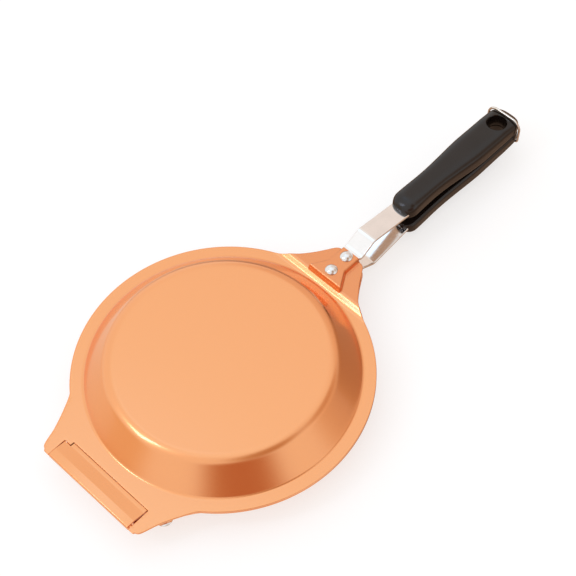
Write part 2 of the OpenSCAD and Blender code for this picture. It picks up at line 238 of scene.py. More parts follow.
def shrink(loop, by):
    """A counter-clockwise loop moved inwards."""
    before, after = np.roll(loop, 1, 0), np.roll(loop, -1, 0)
    d1 = (loop - before) / np.linalg.norm(loop - before, axis=1)[:, None]
    d2 = (after - loop) / np.linalg.norm(after - loop, axis=1)[:, None]
    n1 = np.stack([-d1[:, 1], d1[:, 0]], 1)
    n2 = np.stack([-d2[:, 1], d2[:, 0]], 1)
    n = n1 + n2
    return loop + n * (by / np.maximum((n * n1).sum(1), 0.3))[:, None]


# ---------------------------------------------------------------- meshes
COLLECTION = bpy.context.scene.collection


def new_object(name, verts, faces, material, smooth=True):
    mesh = bpy.data.meshes.new(name)
    points = [tuple(v) for v in np.asarray(verts) * MM]
    mesh.from_pydata(points, [], [tuple(int(i) for i in f) for f in faces])
    mesh.update()
    mesh.polygons.foreach_set("use_smooth", [smooth] * len(mesh.polygons))
    mesh.materials.append(material)
    obj = bpy.data.objects.new(name, mesh)
    COLLECTION.objects.link(obj)
    return obj


def volume(verts, faces):
    """Signed volume of a closed mesh, positive where its faces point out."""
    total = 0.0
    v = np.asarray(verts)
    for f in faces:
        for k in range(1, len(f) - 1):
            total += v[f[0]] @ np.cross(v[f[k]], v[f[k + 1]])
    return total / 6


class Shell:
    """Vertices and faces that are put together from several closed parts."""

    def __init__(self):
        self.verts = []
        self.faces = []

    def add(self, verts, faces):
        k = len(self.verts)
        if volume(verts, faces) < 0:
            faces = [tuple(reversed(f)) for f in faces]
        self.verts += [np.array(v, float) for v in verts]
        self.faces += [tuple(i + k for i in f) for f in faces]
        return self

    def placed(self, upper):
        """The same in the row frame: the upper half as it is, the lower half mirrored."""
        v = np.array(self.verts)
        if upper:
            v[:, 2] += MID_Z
            return v, self.faces
        v[:, 2] = MID_Z - v[:, 2]
        return v, [tuple(reversed(f)) for f in self.faces]


def merge_plan(parts):
    """Joins plan meshes (points, faces) along their shared points."""
    index, points, faces = {}, [], []
    for pts, fcs in parts:
        own = []
        for q in pts:
            key = (round(q[0] * 500), round(q[1] * 500))
            hit = None
            for dx in (0, -1, 1):
                for dy in (0, -1, 1):
                    hit = index.get((key[0] + dx, key[1] + dy), hit)
            if hit is None:
                hit = len(points)
                index[key] = hit
                points.append(np.array(q, float))
            own.append(hit)
        for f in fcs:
            g = [own[i] for i in f]
            if len(set(g)) > 2:
                faces.append(tuple(i for k, i in enumerate(g) if i != g[k - 1]))
    return np.array(points), faces


def boundary_loops(faces):
    """The closed rows of points along the edges that only one face has."""
    edges = {}
    for f in faces:
        for a, b in zip(f, f[1:] + f[:1]):
            edges[(a, b)] = True
    follow = {a: b for (a, b) in edges if (b, a) not in edges}
    loops = []
    while follow:
        start = next(iter(follow))
        loop, at = [], start
        while at in follow:
            loop.append(at)
            at = follow.pop(at)
        loops.append(loop)
    return loops


def triangulate(outer, holes, inner):
    """Plan triangles inside outer and outside the holes, through the inner points."""
    points, edges = [], []
    for loop in [outer] + holes:
        k, n = len(points), len(loop)
        points += list(loop)
        edges += [(k + i, k + (i + 1) % n) for i in range(n)]
    points += list(inner)
    found = delaunay_2d_cdt([Vector(p) for p in points], edges, [], 0, 1e-5)
    verts = np.array([tuple(v) for v in found[0]])
    tris = np.array([f for f in found[2] if len(f) == 3])
    centres = verts[tris].mean(1)
    keep = inside(centres, outer)
    for hole in holes:
        keep &= ~inside(centres, hole)
    tris = tris[keep]
    a, b, c = verts[tris[:, 0]], verts[tris[:, 1]], verts[tris[:, 2]]
    cross = (b[:, 0] - a[:, 0]) * (c[:, 1] - a[:, 1]) - (b[:, 1] - a[:, 1]) * (c[:, 0] - a[:, 0])
    tris[cross < 0] = tris[cross < 0][:, ::-1]
    return verts, [tuple(t) for t in tris[np.abs(cross) > 1e-7]]


def sheet_shell(plan, faces, surface, thick, soft):
    """A sheet with rounded edges. surface(plan) gives the points and normals of its outer face."""
    top, normal = surface(plan)
    n = len(plan)
    verts = list(top) + list(top - normal * thick)
    out = list(faces) + [tuple(i + n for i in reversed(f)) for f in faces]
    for loop in boundary_loops(faces):
        q = plan[loop]
        t = np.roll(q, -1, 0) - np.roll(q, 1, 0)
        t /= np.maximum(np.linalg.norm(t, axis=1), 1e-9)[:, None]
        side = np.stack([t[:, 1], -t[:, 0]], 1)
        moved, _ = surface(q + side * 0.02)
        p, m = top[loop], normal[loop]
        o = moved - p
        o -= m * (o * m).sum(1)[:, None]
        o /= np.linalg.norm(o, axis=1)[:, None]
        rows = [list(loop)]
        steps = [(math.sin(math.radians(a)), 1 - math.cos(math.radians(a))) for a in EDGE_TURNS]
        offsets = [(soft * s, soft * c) for s, c in steps]
        offsets += [(soft * s, thick - soft * c) for s, c in reversed(steps)]
        for outwards, down in offsets:
            k = len(verts)
            verts += list(p + o * outwards - m * down)
            rows.append(list(range(k, k + len(loop))))
        rows.append([i + n for i in loop])
        for r1, r2 in zip(rows[:-1], rows[1:]):
            for i in range(len(loop)):
                j = (i + 1) % len(loop)
                out.append((r1[j], r1[i], r2[i], r2[j]))
    return verts, out


def by_height(height):
    """A surface function from a height above each plan point."""
    def surface(plan):
        e = 0.01
        h = height(plan[:, 0], plan[:, 1])
        dx = (height(plan[:, 0] + e, plan[:, 1]) - height(plan[:, 0] - e, plan[:, 1])) / (2 * e)
        dy = (height(plan[:, 0], plan[:, 1] + e) - height(plan[:, 0], plan[:, 1] - e)) / (2 * e)
        n = np.stack([-dx, -dy, np.ones_like(dx)], 1)
        return np.stack([plan[:, 0], plan[:, 1], h], 1), n / np.linalg.norm(n, axis=1)[:, None]
    return surface


def lathe(profile, sides):
    """A closed solid turned about +Z from points (radius, height), of which the end ones lie on the axis."""
    verts, faces, rings = [], [], []
    for r, z in profile:
        if r < 1e-6:
            rings.append([len(verts)] * sides)
            verts.append((0, 0, z))
        else:
            rings.append(list(range(len(verts), len(verts) + sides)))
            turns = [2 * math.pi * k / sides for k in range(sides)]
            verts += [(r * math.cos(a), r * math.sin(a), z) for a in turns]
    for a, b in zip(rings[:-1], rings[1:]):
        for k in range(sides):
            j = (k + 1) % sides
            f = []
            for i in (a[k], a[j], b[j], b[k]):
                if i not in f:
                    f.append(i)
            if len(f) > 2:
                faces.append(tuple(f))
    return np.array(verts, float), faces


def tube(path, radius, sides):
    """A round bar along a path, with rounded ends."""
    p = np.array(path, float)
    t = np.gradient(p, axis=0)
    t /= np.linalg.norm(t, axis=1)[:, None]
    n = np.cross(t[0], (0.3, 0.5, 0.81))
    around = [2 * math.pi * i / sides for i in range(sides)]
    rings, verts, faces = [], [], []
    stations = [(p[0], t[0], 0.6), (p[0] + t[0] * radius * 0.2, t[0], 0.92)]
    stations += [(p[i], t[i], 1) for i in range(1, len(p) - 1)]
    stations += [(p[-1] - t[-1] * radius * 0.2, t[-1], 0.92), (p[-1], t[-1], 0.6)]
    for at, d, s in stations:
        n = n - d * (n @ d)
        n /= np.linalg.norm(n)
        b = np.cross(d, n)
        k = len(verts)
        verts += [at + radius * s * (n * math.cos(a) + b * math.sin(a)) for a in around]
        rings.append(list(range(k, k + sides)))
    for r1, r2 in zip(rings[:-1], rings[1:]):
        for i in range(sides):
            j = (i + 1) % sides
            faces.append((r1[i], r1[j], r2[j], r2[i]))
    faces += [tuple(reversed(rings[0])), tuple(rings[-1])]
    return np.array(verts), faces


# ---------------------------------------------------------------- materials
def material(name):
    m = bpy.data.materials.new(name)
    m.use_nodes = True
    tree = m.node_tree
    tree.nodes.clear()
    out = tree.nodes.new("ShaderNodeOutputMaterial")
    shader = tree.nodes.new("ShaderNodeBsdfPrincipled")
    tree.links.new(shader.outputs[0], out.inputs[0])
    return m, tree, shader


def node(tree, kind, **settings):
    n = tree.nodes.new(kind)
    for key, value in settings.items():
        if key in n.inputs.keys():
            n.inputs[key].default_value = value
        else:
            setattr(n, key, value)
    return n


def noise(tree, where, scale, detail, rough, stretch=None):
    tex = node(tree, "ShaderNodeTexNoise", Scale=scale, Detail=detail, Roughness=rough)
    if stretch:
        mapping = node(tree, "ShaderNodeMapping")
        mapping.inputs["Scale"].default_value = stretch
        tree.links.new(where, mapping.inputs[0])
        tree.links.new(mapping.outputs[0], tex.inputs["Vector"])
    else:
        tree.links.new(where, tex.inputs["Vector"])
    return tex.outputs["Fac"]


def ramp(tree, value, low, high, a, b):
    """Maps a value between low and high to between a and b."""
    r = node(tree, "ShaderNodeMapRange")
    r.inputs["From Min"].default_value = low
    r.inputs["From Max"].default_value = high
    r.inputs["To Min"].default_value = a
    r.inputs["To Max"].default_value = b
    tree.links.new(value, r.inputs["Value"])
    return r.outputs[0]


def blend_colour(tree, factor, a, b):
    m = node(tree, "ShaderNodeMix", data_type="RGBA")
    tree.links.new(factor, m.inputs[0])
    for socket, colour in ((m.inputs[6], a), (m.inputs[7], b)):
        if isinstance(colour, tuple):
            socket.default_value = colour
        else:
            tree.links.new(colour, socket)
    return m.outputs[2]


def bump(tree, shader, height, strength, distance):
    b = node(tree, "ShaderNodeBump")
    b.inputs["Strength"].default_value = strength
    b.inputs["Distance"].default_value = distance
    tree.links.new(height, b.inputs["Height"])
    tree.links.new(b.outputs[0], shader.inputs["Normal"])


def rgb(r, g, b):
    """A colour from its 8-bit screen values."""
    def linear(c):
        c /= 255
        return c / 12.92 if c <= 0.04045 else ((c + 0.055) / 1.055) ** 2.4
    return (linear(r), linear(g), linear(b), 1.0)


# the third colour is painted shade: the darker, deeper orange that the lug gets beyond its ramp
COPPER_TINT, COPPER_FLECK, COPPER_LUG_SHADE = rgb(248, 168, 106), rgb(255, 200, 150), rgb(237, 150, 91)
PLASTIC_DARK, PLASTIC_LIGHT = rgb(22, 16, 13), rgb(28, 21, 18)


def copper_material(name, seed):
    """A satin metallic coat under a thin gloss, with painted shade on the lug. The seed shifts its pattern
    from piece to piece.
    """
    m, tree, s = material(name)
    where = node(tree, "ShaderNodeTexCoord").outputs["Object"]
    shifted = node(tree, "ShaderNodeMapping")
    shifted.inputs["Location"].default_value = (seed, seed * 0.7, 0)
    tree.links.new(where, shifted.inputs[0])
    at = shifted.outputs[0]
    fleck = noise(tree, at, 2600, 2, 0.6)
    fleck_share = ramp(tree, fleck, 0.45, 0.8, 0, 0.04)
    tint = blend_colour(tree, fleck_share, COPPER_TINT, COPPER_FLECK)
    # painted shade: beyond the ramp the lug is coloured a darker, deeper orange than the rest of the pan
    along = node(tree, "ShaderNodeSeparateXYZ")
    tree.links.new(where, along.inputs[0])
    lug_shade_share = ramp(tree, along.outputs[0], 0.0995, 0.1025, 0, 1)
    tint = blend_colour(tree, lug_shade_share, tint, COPPER_LUG_SHADE)
    tree.links.new(tint, s.inputs["Base Color"])
    rough = noise(tree, at, 900, 2, 0.5)
    tree.links.new(ramp(tree, rough, 0.3, 0.7, 0.25, 0.27), s.inputs["Roughness"])
    s.inputs["Metallic"].default_value = 1.0
    s.inputs["Coat Weight"].default_value = 0.9
    s.inputs["Coat Roughness"].default_value = 0.09
    s.inputs["Coat IOR"].default_value = 1.6
    bump(tree, s, fleck, 0.005, 0.0001)
    return m


def steel_material(name, colour, low, high, stretch, strength):
    """Bright steel, with a roughness between low and high along stretched brush lines."""
    m, tree, s = material(name)
    at = node(tree, "ShaderNodeTexCoord").outputs["Object"]
    cloud = noise(tree, at, 90, 3, 0.5)
    dark = tuple(c * 0.94 for c in colour[:3]) + (1.0,)
    tint = blend_colour(tree, ramp(tree, cloud, 0.3, 0.7, 0, 1), colour, dark)
    tree.links.new(tint, s.inputs["Base Color"])
    s.inputs["Metallic"].default_value = 1.0
    lines = noise(tree, at, 1, 4, 0.6, stretch)
    tree.links.new(ramp(tree, lines, 0.3, 0.7, low, high), s.inputs["Roughness"])
    bump(tree, s, lines, strength, 0.0002)
    return m


def plastic_material(name):
    """Black moulded plastic with a semi gloss skin."""
    m, tree, s = material(name)
    at = node(tree, "ShaderNodeTexCoord").outputs["Object"]
    cloud = noise(tree, at, 45, 4, 0.6)
    tint = blend_colour(tree, ramp(tree, cloud, 0.3, 0.7, 0, 1), PLASTIC_DARK, PLASTIC_LIGHT)
    tree.links.new(tint, s.inputs["Base Color"])
    fine = noise(tree, at, 900, 3, 0.6)
    tree.links.new(ramp(tree, cloud, 0.3, 0.7, 0.17, 0.23), s.inputs["Roughness"])
    s.inputs["IOR"].default_value = 1.5
    bump(tree, s, fine, 0.08, 0.0003)
    return m


COPPER = {"upper": copper_material("upper_copper_coat", 0.0),
          "lower": copper_material("lower_copper_coat", 0.37)}
HINGE_COPPER = copper_material("hinge_copper_coat", 0.81)
STRAP = steel_material("strap_steel_polish", (0.96, 0.945, 0.93, 1), 0.08, 0.16, (30, 1400, 1400), 0.04)
CHROME = steel_material("rivet_chrome", (0.86, 0.86, 0.86, 1), 0.10, 0.18, (500, 500, 500), 0.03)
WIRE = steel_material("wire_stainless", (0.82, 0.79, 0.74, 1), 0.12, 0.2, (700, 700, 700), 0.03)
PLASTIC = plastic_material("grip_phenolic")


def finish_piece(obj, body, slot, *nodes):
    """Puts a piece on its body and hides the CAD nodes that it stands for. Its slot is not used."""
    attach(obj, body)
    if nodes:
        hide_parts(*nodes)


def make_piece(name, shell, upper, look, body, slot, cad_node):
    """Makes a shell's object, above the meeting plane or mirrored below it, and puts it on its body."""
    verts, faces = shell.placed(upper)
    finish_piece(new_object(name, verts, faces, look), body, slot, cad_node)


# ---------------------------------------------------------------- pans
def dish_height(r):
    """Height of the dish's outer face at radius r, from the flat down to the flange."""
    shoulder = FACE_R + SHOULDER_R * math.sin(WALL)
    foot = FOOT_X - FOOT_R * math.sin(WALL)
    into = np.clip(r - FACE_R, 0, SHOULDER_R)
    top = MID_Z - SHOULDER_R + np.sqrt(np.maximum(SHOULDER_R ** 2 - into ** 2, 0))
    wall_top = MID_Z - SHOULDER_R * (1 - math.cos(WALL))
    wall = wall_top - (r - shoulder) * math.tan(WALL)
    short = np.clip(FOOT_X - r, 0, FOOT_R)
    low = FLANGE + FOOT_R - np.sqrt(np.maximum(FOOT_R ** 2 - short ** 2, 0))
    return np.where(r <= shoulder, top, np.where(r <= foot, wall, low))


def platform_line():
    """The platform's plan, counter-clockwise, with its two wide corners rounded."""
    past_lug = LUG_REACH + 11.5
    pts = [(past_lug, PLAT_HALF), (PLAT_NECK, PLAT_HALF), (PLAT_IN, PLAT_WIDE), (PLAT_IN, -PLAT_WIDE),
           (PLAT_NECK, -PLAT_HALF), (past_lug, -PLAT_HALF)]
    return np.array(filleted(pts, (3.0, 1.4, 1.4, 3.0), 12))


PLATFORM = platform_line()
def platform_rise(d):
    """Height of the platform's wall at signed distance d from its plan line, positive outside."""
    s, c = math.sin(PLAT_SLOPE), math.cos(PLAT_SLOPE)
    run = (PLAT_H - (PLAT_ROUND + PLAT_FOOT) * (1 - c)) / math.tan(PLAT_SLOPE)
    total = PLAT_FOOT * s + run + PLAT_ROUND * s
    t = PLAT_OUT - d
    foot = PLAT_FOOT - np.sqrt(np.maximum(PLAT_FOOT ** 2 - np.clip(t, 0, PLAT_FOOT) ** 2, 0))
    wall = PLAT_FOOT * (1 - c) + (t - PLAT_FOOT * s) * math.tan(PLAT_SLOPE)
    back = np.clip(total - t, 0, PLAT_ROUND)
    top = PLAT_H - PLAT_ROUND + np.sqrt(np.maximum(PLAT_ROUND ** 2 - back ** 2, 0))
    return np.where(t < PLAT_FOOT * s, foot, np.where(t < PLAT_FOOT * s + run, wall, top))


def platform_distance(points):
    """Signed distance from the platform's plan line, negative inside, and 9 where it is far."""
    near = (points[:, 0] > PLAT_IN - 4) & (np.abs(points[:, 1]) < PLAT_WIDE + 4)
    d = np.full(len(points), 9.0)
    if near.any():
        q = points[near]
        best = line_distance(q, PLATFORM)
        d[near] = np.where(inside(q, PLATFORM), -best, best)
    return d


def pan_height(x, y):
    """Height of a pan's outer face: the dish, the ramp up to the lug, and the platform."""
    r = np.hypot(x, y)
    h = dish_height(r)
    up = soft_pos(x - RAMP_IN, RAMP_SOFT_IN) - soft_pos(x - RAMP_IN - RAMP_RUN, RAMP_SOFT_OUT)
    h = h + np.where(r > LUG_INNER_R, LIFT / RAMP_RUN * up, 0)
    return h + platform_rise(platform_distance(np.stack([x, y], 1)))


def polar(r, degrees):
    a = math.radians(degrees)
    return (r * math.cos(a), r * math.sin(a))


def ring(r, n, a0=0.0, a1=2 * math.pi, closed=True):
    """Points round the axis, in n steps from angle a0 to a1."""
    k = np.arange(n if closed else n + 1)
    a = a0 + (a1 - a0) * k / n
    return np.stack([r * np.cos(a), r * np.sin(a)], 1)


def lug_half():
    """The lug's outline for y > 0, from its end to the rim."""
    square = (LUG_REACH, LUG_END_Y - 2.6)
    end = [(LUG_REACH, 0), square]
    waist = (NECK_X + 20, NECK_Y - 24)
    curve = [(LUG_REACH, LUG_END_Y - 4), square, (LUG_REACH - 0.8, LUG_END_Y - 0.6),
             (LUG_REACH - 2.4, LUG_END_Y + 1),
             (mix(waist[0], LUG_REACH, 0.45), mix(waist[1], LUG_END_Y, 0.48)), waist]
    curve += [(NECK_X + dx, NECK_Y - dy)
              for dx, dy in ((14.9, 20.2), (9.8, 15.8), (5.1, 10.2), (1.9, 4.4), (0, 0))]
    return straight(end, 0.6)[:-1] + spline(curve + [polar(RIM_R, 31)], 0.6)


def tab_half(reach, corner):
    """The tab's outline for y > 0, from the rim to its outer corner."""
    start_x, start_y = -reach + corner, TAB_HALF + 0.6
    curve = [polar(RIM_R, 137), (FLARE_X, FLARE_Y),
             (mix(start_x, FLARE_X, 0.7), mix(start_y, FLARE_Y, 0.62)),
             (mix(start_x, FLARE_X, 0.35), mix(start_y, FLARE_Y, 0.27)),
             (start_x, start_y), (-reach + 1.2, TAB_HALF - 1.6), (-reach + 0.3, TAB_HALF - corner + 0.6),
             (-reach, TAB_HALF - corner - 1), (-reach, TAB_HALF - corner - 2)]
    return spline(curve, 0.8)


def pan_outline(upper):
    """A pan's closed outline. The upper tab has the knuckle's slot, and the lower tab a bay."""
    a0, a1 = math.atan2(NECK_Y, NECK_X), math.atan2(FLARE_Y, FLARE_X)
    rim = list(ring(RIM_R, 150, a0, a1, False))
    half = lug_half() + rim[1:-1]
    half += tab_half(TAB_REACH, 2.6) if upper else tab_half(-LOWER_EAR_X, 2.0)
    mirrored = [np.array((q[0], -q[1])) for q in reversed(half)]
    if upper:
        x = -TAB_REACH
        middle = [(x, TAB_HALF - 5.5), (x, SLOT_HALF), (TOOTH_X, SLOT_HALF), (TOOTH_X, TOOTH_Y),
                  (SLOT_IN, TOOTH_Y), (SLOT_IN, -SLOT_HALF), (x, -SLOT_HALF), (x, -TAB_HALF + 5.5)]
        radii = (0.5, 0.6, 0.5, 0.5, 0.6, 0.5)
    else:
        x = LOWER_EAR_X
        middle = [(x, TAB_HALF - 3), (x, SLOT_HALF), (LOWER_TAB_X, SLOT_HALF), (LOWER_TAB_X, -SLOT_HALF),
                  (x, -SLOT_HALF), (x, -TAB_HALF + 3)]
        radii = (0.5, 0.8, 0.8, 0.5)
    middle = straight(filleted(middle, radii, 15), 1.5)
    return clean_loop(half[:-1] + middle[1:-1] + mirrored[1:])


def pan_plan(upper):
    """A pan's plan mesh: rings over the dish, joined to triangles over the flange, tab and lug."""
    n = 288
    radii = [0, 6, 18, 34, 50, 60, FACE_R - 7, FACE_R - 3, FACE_R - 1, FACE_R]
    radii += [FACE_R + SHOULDER_R * math.sin(WALL * k / 14) for k in range(1, 15)]
    wall_top, wall_foot = radii[-1], FOOT_X - FOOT_R * math.sin(WALL)
    radii += [mix(wall_top, wall_foot, k / 10) for k in range(1, 10)]
    radii += [FOOT_X - FOOT_R * math.sin(WALL * k / 8) for k in range(8, -1, -1)]
    pts, faces, rows = [np.zeros(2)], [], [[0] * n]
    for r in radii[1:]:
        rows.append(list(range(len(pts), len(pts) + n)))
        pts += list(ring(r, n))
    for r1, r2 in zip(rows[:-1], rows[1:]):
        for k in range(n):
            j = (k + 1) % n
            faces.append((r1[k], r2[k], r2[j]) if r1[k] == 0 else (r1[k], r2[k], r2[j], r1[j]))
    outline = shrink(pan_outline(upper), EDGE)
    hole = ring(radii[-1], n)
    inner = [ring(r, n) for r in (FOOT_X + 0.5, FOOT_X + 1.6, 101, RIM_R - 1.4)]
    inner = [q[q[:, 0] < 94] for q in inner]
    for x in np.arange(RAMP_IN - 1.6, RAMP_IN + RAMP_RUN + 1.5, 0.35):
        half = math.sqrt(max(RIM_R ** 2 - x * x, 0)) + 2 if x < 100 else 42
        ys = np.arange(-half, half + 0.01, 1.1)
        inner.append(np.stack([np.full_like(ys, x), ys], 1))
    for d in np.arange(-2.7, 0.9, 0.22):
        line = offset_open(PLATFORM, d)
        inner.append(np.array(straight([tuple(q) for q in line], 0.7)))
    gx, gy = np.meshgrid(np.arange(102, LUG_REACH, 1.3), np.arange(-40, 40.1, 1.3))
    grid = np.stack([gx.ravel(), gy.ravel()], 1)
    grid = grid[np.abs(platform_distance(grid) + 0.9) > 2.2]
    inner.append(grid)
    gx, gy = np.meshgrid(np.arange(-122, -80, 2.2), np.arange(-62, 62.1, 2.2))
    grid = np.stack([gx.ravel(), gy.ravel()], 1)
    inner.append(grid[np.hypot(grid[:, 0], grid[:, 1]) > RIM_R])
    inner = np.concatenate(inner)
    inner = inner[inside(inner, outline) & ~inside(inner, hole)]
    inner = inner[(edge_distance(inner, outline) > 0.25) & (edge_distance(inner, hole) > 0.2)]
    inner = thin_out(inner, 0.12)
    verts, tris = triangulate(outline, [hole], inner)
    return merge_plan([(pts, faces), (verts, tris)])


def thin_out(points, least):
    """The points with none nearer to another than about least."""
    seen, out = set(), []
    for q in points:
        key = (int(q[0] // least), int(q[1] // least))
        if not any((key[0] + i, key[1] + j) in seen for i in (-1, 0, 1) for j in (-1, 0, 1)):
            seen.add(key)
            out.append(q)
    return np.array(out)


def offset_open(line, d):
    """An open line moved to its right by d."""
    before = np.diff(line, axis=0)
    before = before / np.linalg.norm(before, axis=1)[:, None]
    d1 = np.vstack([before[:1], before])
    d2 = np.vstack([before, before[-1:]])
    n1 = np.stack([d1[:, 1], -d1[:, 0]], 1)
    n2 = np.stack([d2[:, 1], -d2[:, 0]], 1)
    n = n1 + n2
    return line + n * (d / np.maximum((n * n1).sum(1), 0.3))[:, None]


def build_pan(upper):
    """One pressed pan. The upper one ends in the bar that the knuckle holds."""
    plan, faces = pan_plan(upper)
    shell = Shell()
    shell.add(*sheet_shell(plan, faces, by_height(pan_height), SHEET, EDGE))
    if upper:
        end = SLOT_HALF + 3
        bar = [(BAR_X, y, BAR_H) for y in (-end, -end + 1, 0, end - 1, end)]
        shell.add(*tube(bar, BAR_R, 32))
    side = "upper" if upper else "lower"
    make_piece(side + "_pan_pressing", shell, upper, COPPER[side], side, side + "_copper", side + "_pan")


for is_upper in (True, False):
    build_pan(is_upper)


# ---------------------------------------------------------------- hinge leaf
def knuckle_section():
    """The rolled part in section, (x, h), counter-clockwise: its outside, its hollow and its bore."""
    floor = LEAF_LOW + 0.02
    centre = np.array((BAR_X, BAR_H))
    over = filleted([(RISER_X, floor), (RISER_X, STRIP_H), (FLANK_IN, STRIP_H), (CREST_X, CREST_H),
                     (BAR_X - EYE_R, CREST_H - 0.2), (BAR_X - EYE_R, BAR_H)], (0.35, 4.0, 2.4, 1.3), 6)
    under = [centre + np.array(polar(EYE_R, a)) for a in range(186, 271, 7)]
    outside = clean_loop(over + under + [np.array((BAR_X + 1.7, floor))])
    eye_wall, riser_wall = BAR_X + 2.9, RISER_X - SHEET
    hollow = [(riser_wall, LEAF_TOP), (riser_wall, STRIP_H - SHEET), (FLANK_IN, STRIP_H - SHEET),
              (CREST_X + 0.6, CREST_H - SHEET - 0.05), (eye_wall, CREST_H - SHEET), (eye_wall, LEAF_TOP)]
    hollow = clean_loop([np.array(q, float) for q in hollow])
    return outside, hollow, ring(BORE_R, 40) + centre


def extruded(outside, holes, y0, y1, soft):
    """A section (x, h) drawn out from y0 to y1, with the edges of both ends rounded."""
    rows = [(y0 + soft * (1 - math.cos(a)), soft * (1 - math.sin(a)))
            for a in np.radians((0,) + EDGE_TURNS)]
    rows += [(y0 + y1 - y, by) for y, by in reversed(rows)]
    verts, faces, first, last = [], [], [], []
    for n, loop in enumerate([outside] + holes):
        before = None
        for y, by in rows:
            moved = shrink(loop, by if n == 0 else -by)
            row = list(range(len(verts), len(verts) + len(loop)))
            verts += [(q[0], y, q[1]) for q in moved]
            if before:
                for i in range(len(row)):
                    j = (i + 1) % len(row)
                    quad = (before[i], before[j], row[j], row[i])
                    faces.append(quad if n == 0 else tuple(reversed(quad)))
            else:
                first += row
            before = row
        last += before
    ends = [shrink(outside, soft)] + [shrink(loop, -soft) for loop in holes]
    _, tris = triangulate(ends[0], ends[1:], np.zeros((0, 2)))
    for f in tris:
        faces.append(tuple(first[i] for i in reversed(f)))
        faces.append(tuple(last[i] for i in f))
    return np.array(verts), faces


def leaf_plate():
    """The plate under the lower pan's tab, with its two riveted wings."""
    meet = math.atan2(LEAF_WING_Y - 5.5, -84.7)
    arc = ring(FOOT_X + 1.2, 60, meet, 2 * math.pi - meet, False)
    back, side = -107.0, SLOT_IN - 0.2
    wing = filleted([(back, KNUCKLE_HALF - 1), (back, KNUCKLE_HALF), (side, KNUCKLE_HALF),
                     (side, LEAF_WING_Y - 7), (side + 1.5, LEAF_WING_Y - 2),
                     (LEAF_RIVET[0] - 1, LEAF_WING_Y), (LEAF_RIVET[0] + 4, LEAF_WING_Y - 0.5), tuple(arc[0])],
                    (0, 0.5, 5, 3, 4, 5), 10)
    top = straight([tuple(q) for q in wing], 1.0)
    loop = clean_loop(top + list(arc[1:-1]) + [np.array((q[0], -q[1])) for q in reversed(top)])
    loop = shrink(loop, EDGE)
    gx, gy = np.meshgrid(np.arange(-108, -80, 2.0), np.arange(-56, 56.1, 2.0))
    grid = np.stack([gx.ravel(), gy.ravel()], 1)
    grid = grid[inside(grid, loop) & (edge_distance(grid, loop) > 0.6)]
    plan, faces = triangulate(loop, [], grid)
    level = by_height(lambda x, y: np.full_like(x, LEAF_TOP))
    return sheet_shell(plan, faces, level, SHEET, EDGE)


def cut_away(obj, verts, faces):
    """Takes a closed solid out of a piece, and leaves crisp edges round the cut."""
    cutter = new_object("cutter", verts, faces, obj.data.materials[0])
    boolean = obj.modifiers.new("cut", "BOOLEAN")
    boolean.object = cutter
    boolean.solver = "EXACT"
    boolean.operation = "DIFFERENCE"
    dg = bpy.context.evaluated_depsgraph_get()
    dg.update()
    mesh = bpy.data.meshes.new_from_object(obj.evaluated_get(dg))
    obj.modifiers.clear()
    obj.data = mesh
    mesh.polygons.foreach_set("use_smooth", [True] * len(mesh.polygons))
    sharp_edges(mesh, 38)
    bpy.data.objects.remove(cutter)


def sharp_edges(mesh, degrees):
    """Marks the edges that turn by more than some degrees, so that their two sides shade apart."""
    limit = math.cos(math.radians(degrees))
    normals = {}
    for p in mesh.polygons:
        for key in p.edge_keys:
            normals.setdefault(key, []).append(p.normal)
    for e in mesh.edges:
        n = normals.get(e.key, [])
        e.use_edge_sharp = len(n) == 2 and n[0].dot(n[1]) < limit


def box(lo, hi):
    """A closed box between two corners, in mm of the row frame."""
    verts = [(x, y, z) for z in (lo[2], hi[2]) for y in (lo[1], hi[1]) for x in (lo[0], hi[0])]
    return verts, [(0, 2, 3, 1), (4, 5, 7, 6), (0, 1, 5, 4), (2, 6, 7, 3), (0, 4, 6, 2), (1, 3, 7, 5)]


def build_leaf():
    """The knuckle, cut before the plate joins it, because their faces nearly meet."""
    outside, hollow, bore = knuckle_section()
    shell = Shell().add(*extruded(outside, [hollow, bore], -KNUCKLE_HALF, KNUCKLE_HALF, 0.3))
    leaf = new_object("hinge_leaf_knuckle", *shell.placed(True), HINGE_COPPER)
    # the strip and its riser stop short of the upper tab's tooth
    cut_away(leaf, *box((FLANK_IN - 0.2, TOOTH_Y - TOOTH_GAP, MID_Z + LEAF_TOP),
                        (RISER_X + 0.5, KNUCKLE_HALF + 1, MID_Z + 5)))
    plate = new_object("plate", *Shell().add(*leaf_plate()).placed(True), HINGE_COPPER)
    both = bmesh.new()
    both.from_mesh(leaf.data)
    both.from_mesh(plate.data)
    both.to_mesh(leaf.data)
    both.free()
    bpy.data.objects.remove(plate)
    finish_piece(leaf, "lower", "hinge_copper", "hinge_leaf")


build_leaf()


# ---------------------------------------------------------------- rivets
def dome_profile(r, h):
    """A formed rivet head: a short upright edge and a crown, from the top down."""
    lip = 0.14 * h
    ball = (r * r + (h - lip) ** 2) / (2 * (h - lip))
    limit = math.asin(min(1, r / ball))
    pts = [(ball * math.sin(limit * k / 14), h - ball + ball * math.cos(limit * k / 14)) for k in range(15)]
    pts[-1] = (r - 0.12, lip + 0.14)
    return pts + [(r, lip - 0.05), (r, 0.08), (r - 0.08, 0.0), (0, 0.0)]


def placed_at(verts, x, y, z, flip=False):
    v = np.array(verts, float)
    if flip:
        v[:, 2] *= -1
    return v + np.array((x, y, z))


def build_strap_rivets(upper):
    """Two domes on the platform, with their formed heads under the strap's tongue."""
    shell = Shell()
    for x in RIVETS_X:
        v, f = lathe(dome_profile(STRAP_HEAD_R, STRAP_HEAD_H), 56)
        shell.add(placed_at(v, x, 0, PLAT_TOP), f)
        v, f = lathe([(0, 1.15), (1.4, 1.12), (2.6, 0.95), (3.25, 0.6), (3.45, 0.2), (3.45, 0.0), (0, 0)], 40)
        shell.add(placed_at(v, x, 0, PLAT_UNDER - STRAP_T, True), f)
    side = "upper" if upper else "lower"
    make_piece(side + "_strap_rivets", shell, upper, CHROME, side, "rivet_steel", side + "_rivets")


